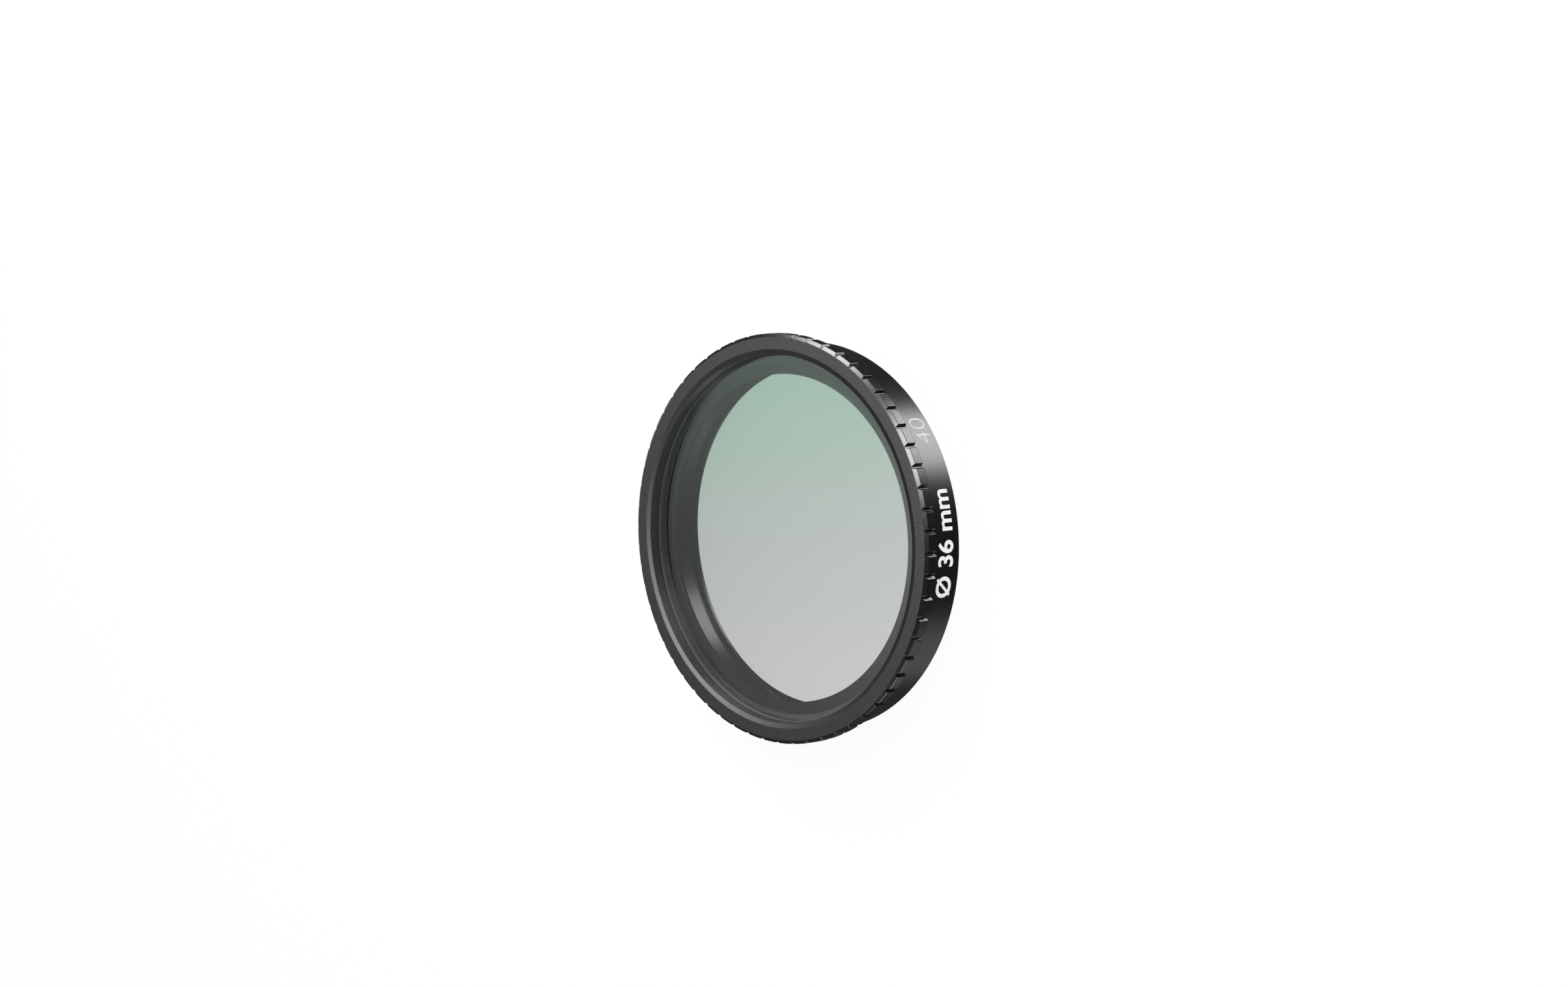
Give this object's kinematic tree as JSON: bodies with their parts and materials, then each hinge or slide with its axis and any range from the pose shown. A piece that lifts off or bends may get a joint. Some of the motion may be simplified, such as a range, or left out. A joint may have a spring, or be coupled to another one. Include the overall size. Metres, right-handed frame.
{
  "type": "uv lens filter",
  "caption": "Round UV filter: a black turned ring with a notched grip flange round the front, coated glass set back in it, and an open rear socket that pushes onto a lens barrel.",
  "frame": {"origin": "centre of the rear face, on the axis of the filter", "axes": "+Z along the axis of the filter, towards its front face"},
  "size_m": [0.04, 0.04, 0.0057],
  "materials": {
    "black_anodised": "black anodised aluminium, fine blasted front face, smoother turned sides",
    "coated_glass": "clear coated glass with a faint green reflection",
    "blackened_spring": "blackened spring steel",
    "white_mark": "printed white marking ink"
  },
  "bodies": {
    "root": {"frame_ring": "black_anodised", "glass_disc": "coated_glass", "retaining_ring": "blackened_spring"}
  },
  "joints": []
}
